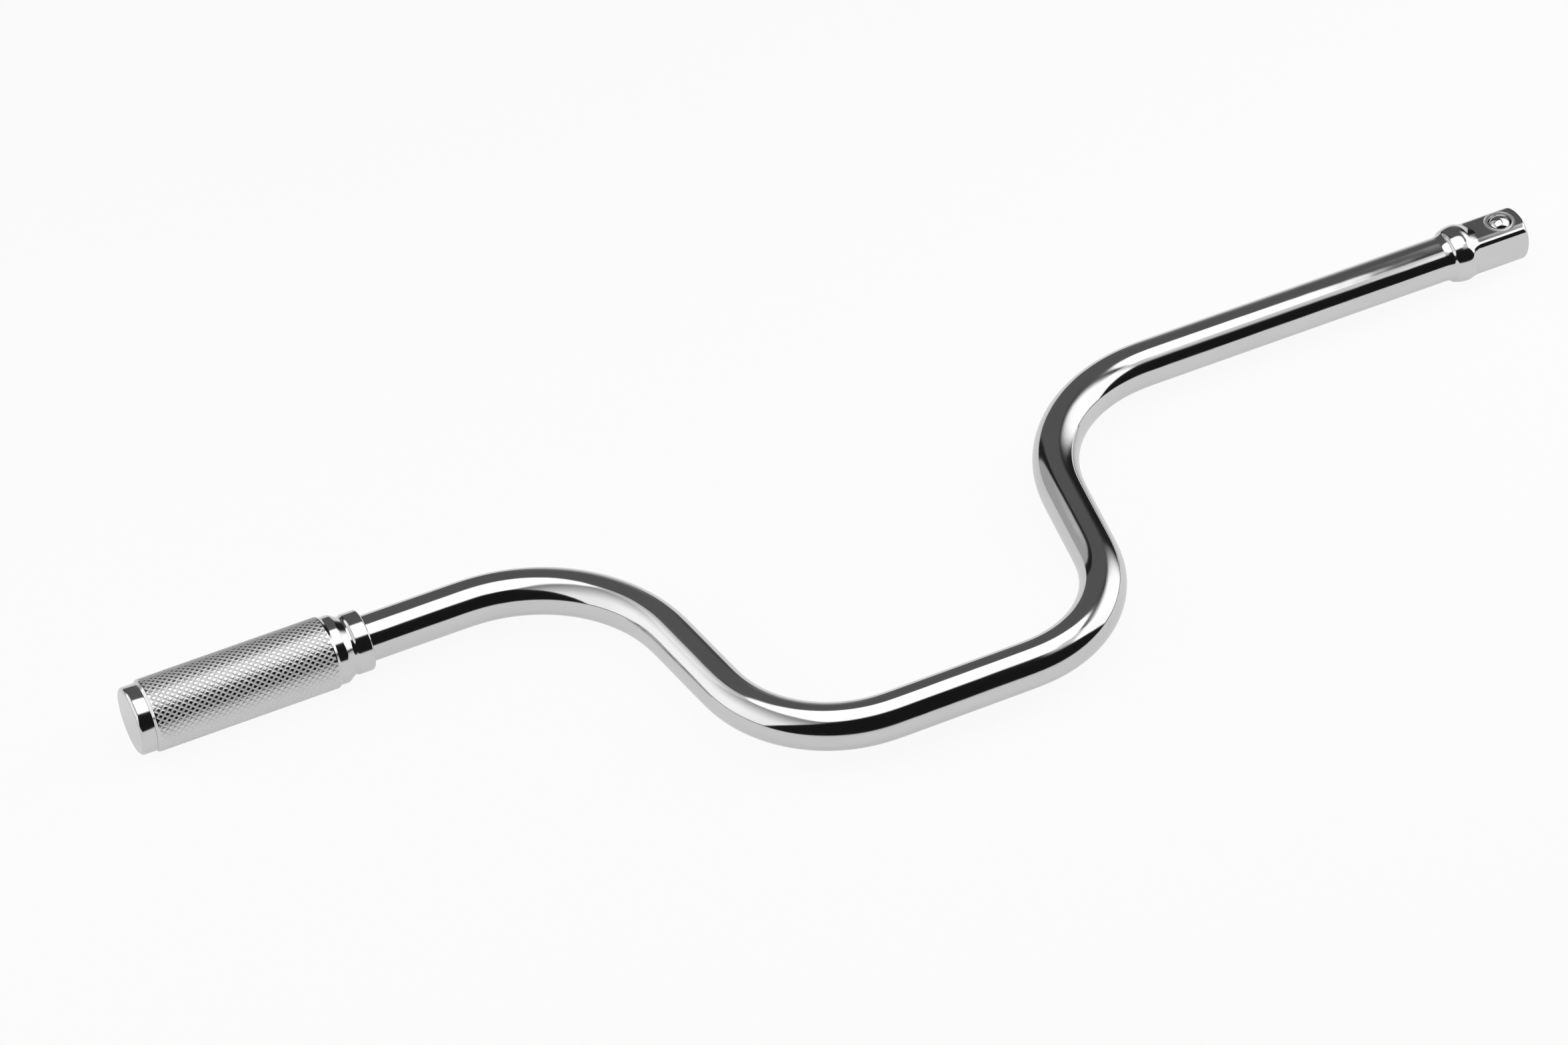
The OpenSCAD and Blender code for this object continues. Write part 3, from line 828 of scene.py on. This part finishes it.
# A flat panel of light between two ends in x and z, over a span of y, facing the tool. Its power is pi
# times its area times its radiance, and it dims smoothly over a margin along each of its four edges. A
# panel with a bulge also dims towards the curve where that power of both half widths adds up to one, and
# a notch leaves out the corner beyond its x and in front of its y.
def addPanel(name, panel):
    low, high = (np.array((e[0], 0, e[1])) for e in (panel["low"], panel["high"]))
    run = np.linalg.norm(high - low)
    front, back = panel["span"]
    lamp = bpy.data.lights.new(name, "AREA")
    lamp.shape = "RECTANGLE"
    lamp.size, lamp.size_y = run, back - front
    lamp.energy = pi * run * lamp.size_y * panel["radiance"]
    lamp.use_nodes = True
    tree = lamp.node_tree
    where = addNode(tree, "ShaderNodeNewGeometry")
    along = addNode(tree, "ShaderNodeVectorMath", {1: (high - low) / run}, operation="DOT_PRODUCT")
    part = addNode(tree, "ShaderNodeSeparateXYZ")
    tree.links.new(where.outputs["Position"], along.inputs[0])
    tree.links.new(where.outputs["Position"], part.inputs[0])
    start = float((high - low) @ low / run)
    u, v = along.outputs["Value"], part.outputs["Y"]
    fade = panel["fade"]
    ends = between(tree, u, start, start + fade[0], start + run - fade[1], start + run)
    sides = between(tree, v, front, front + fade[2], back - fade[3], back)
    shine = reckon(tree, "MULTIPLY", ends, sides)
    if "bulge" in panel:
        across = reckon(tree, "MULTIPLY_ADD", u, 2 / run, -2 * start / run - 1)
        deep = reckon(tree, "MULTIPLY_ADD", v, 2 / lamp.size_y, -(front + back) / lamp.size_y)
        power = [reckon(tree, "POWER", reckon(tree, "ABSOLUTE", k), panel["bulge"]) for k in (across, deep)]
        inside = rise(tree, reckon(tree, "ADD", *power), *panel["bulgeSoft"])
        shine = reckon(tree, "MULTIPLY", shine, inside)
    if "notch" in panel:
        (x, y), soft = panel["notch"], panel["notchSoft"]
        cut = reckon(tree, "MULTIPLY", rise(tree, u, x, x + soft), rise(tree, v, y, y - soft))
        shine = reckon(tree, "MULTIPLY", shine, reckon(tree, "SUBTRACT", 1.0, cut))
    tree.links.new(shine, tree.nodes["Emission"].inputs["Strength"])
    holder = bpy.data.objects.new(name, lamp)
    turn = np.eye(4)
    turn[:3, 0], turn[:3, 1] = (high - low) / run, (0, 1, 0)
    turn[:3, 2] = np.cross(turn[:3, 0], turn[:3, 1])
    turn[:3, 3] = (low + high) / 2 + np.array((0, (front + back) / 2, 0))
    holder.matrix_world = Matrix(turn.tolist())
    holder.visible_camera = False
    bpy.context.scene.collection.objects.link(holder)


# The room seen from the tool: nearly black on the camera's side and dark grey on the far side. There a
# pale wall and a low strip add light at their own bearings, and a dark post and corner take a share of
# it. The camera itself sees white.
def studioRoom():
    world = bpy.data.worlds.new("room")
    bpy.context.scene.world = world
    world.use_nodes = True
    tree = world.node_tree
    shade = tree.nodes["Background"]
    where = addNode(tree, "ShaderNodeTexCoord")
    part = addNode(tree, "ShaderNodeSeparateXYZ")
    tree.links.new(where.outputs["Generated"], part.inputs[0])
    x, y, z = (part.outputs[k] for k in "XYZ")
    bearing = reckon(tree, "ARCTAN2", x, y)
    near, far = studio["room"]
    light = reckon(tree, "MULTIPLY", rise(tree, y, *studio["roomTurn"]), far - near)
    light = reckon(tree, "ADD", light, near)
    for thing in studio["things"].values():
        share = reckon(tree, "MULTIPLY", between(tree, bearing, *thing["bearing"]), thing["light"])
        if "height" in thing:
            share = reckon(tree, "MULTIPLY", share, rise(tree, z, *thing["height"]))
        if thing["light"] < 0:
            light = reckon(tree, "MULTIPLY", light, reckon(tree, "ADD", share, 1.0))
        else:
            light = reckon(tree, "ADD", light, share)
    path = addNode(tree, "ShaderNodeLightPath")
    light = reckon(tree, "MAXIMUM", light, path.outputs["Is Camera Ray"])
    tree.links.new(light, shade.inputs["Strength"])
    shade.inputs["Color"].default_value = (1, 1, 1, 1)


# The photograph's viewing angle. From azimuth and elevation come the directions back, right and up, and
# the roll turns the last two about the first.
def photoCamera():
    a, e, roll = (np.radians(lens[k]) for k in ("azimuth", "elevation", "roll"))
    back = np.array((np.sin(a) * np.cos(e), -np.cos(a) * np.cos(e), np.sin(e)))
    right = np.array((np.cos(a), np.sin(a), 0))
    up = np.cross(back, right)
    camera = bpy.data.objects.new("camera", bpy.data.cameras.new("camera"))
    turn = np.eye(4)
    turn[:3, 0] = np.cos(roll) * right + np.sin(roll) * up
    turn[:3, 1] = np.cos(roll) * up - np.sin(roll) * right
    turn[:3, 2], turn[:3, 3] = back, lens["place"]
    camera.matrix_world = Matrix(turn.tolist())
    camera.data.sensor_width = lens["sensor"]
    camera.data.lens = lens["focal"]
    camera.data.clip_start, camera.data.clip_end = lens["clip"]
    bpy.context.scene.collection.objects.link(camera)
    bpy.context.scene.camera = camera


paleFloor()
for name, panel in studio["panels"].items():
    addPanel(name + "Panel", panel)
studioRoom()
photoCamera()
bpy.context.scene.view_settings.view_transform = "Standard"
print("studio set")
